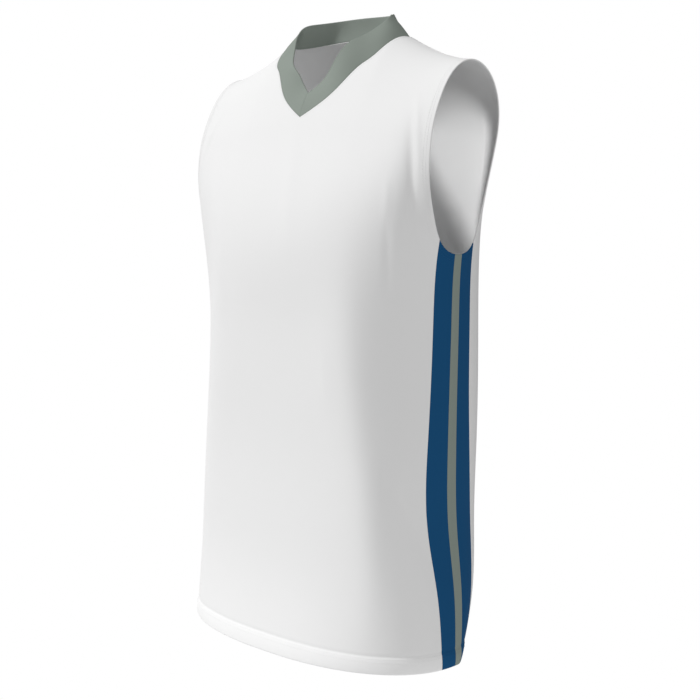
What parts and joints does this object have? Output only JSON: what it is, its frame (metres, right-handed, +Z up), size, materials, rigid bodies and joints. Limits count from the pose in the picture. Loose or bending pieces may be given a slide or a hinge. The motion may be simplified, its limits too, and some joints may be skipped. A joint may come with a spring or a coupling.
{
  "type": "basketball jersey",
  "caption": "Sleeveless V-neck basketball jersey, filled out as worn, white with a grey collar band and blue side panels split by a grey stripe.",
  "frame": {"origin": "midway between the high points of the two shoulders, where the wearer carries the jersey", "axes": "+Z up, -Y towards the front, +X towards the wearer's left"},
  "size_m": [0.4034, 0.2604, 0.7533],
  "materials": {
    "white_knit": "smooth matte polyester knit",
    "blue_knit": "smooth matte polyester knit",
    "grey_stripe": "smooth matte polyester knit",
    "grey_rib": "fine folded rib knit"
  },
  "bodies": {
    "root": {"front_panel": "white_knit", "back_panel": "white_knit", "collar": "grey_rib", "left_side_front": "blue_knit", "left_side_stripe": "grey_stripe", "left_side_back": "blue_knit", "right_side_front": "blue_knit", "right_side_stripe": "grey_stripe", "right_side_back": "blue_knit"}
  },
  "joints": []
}
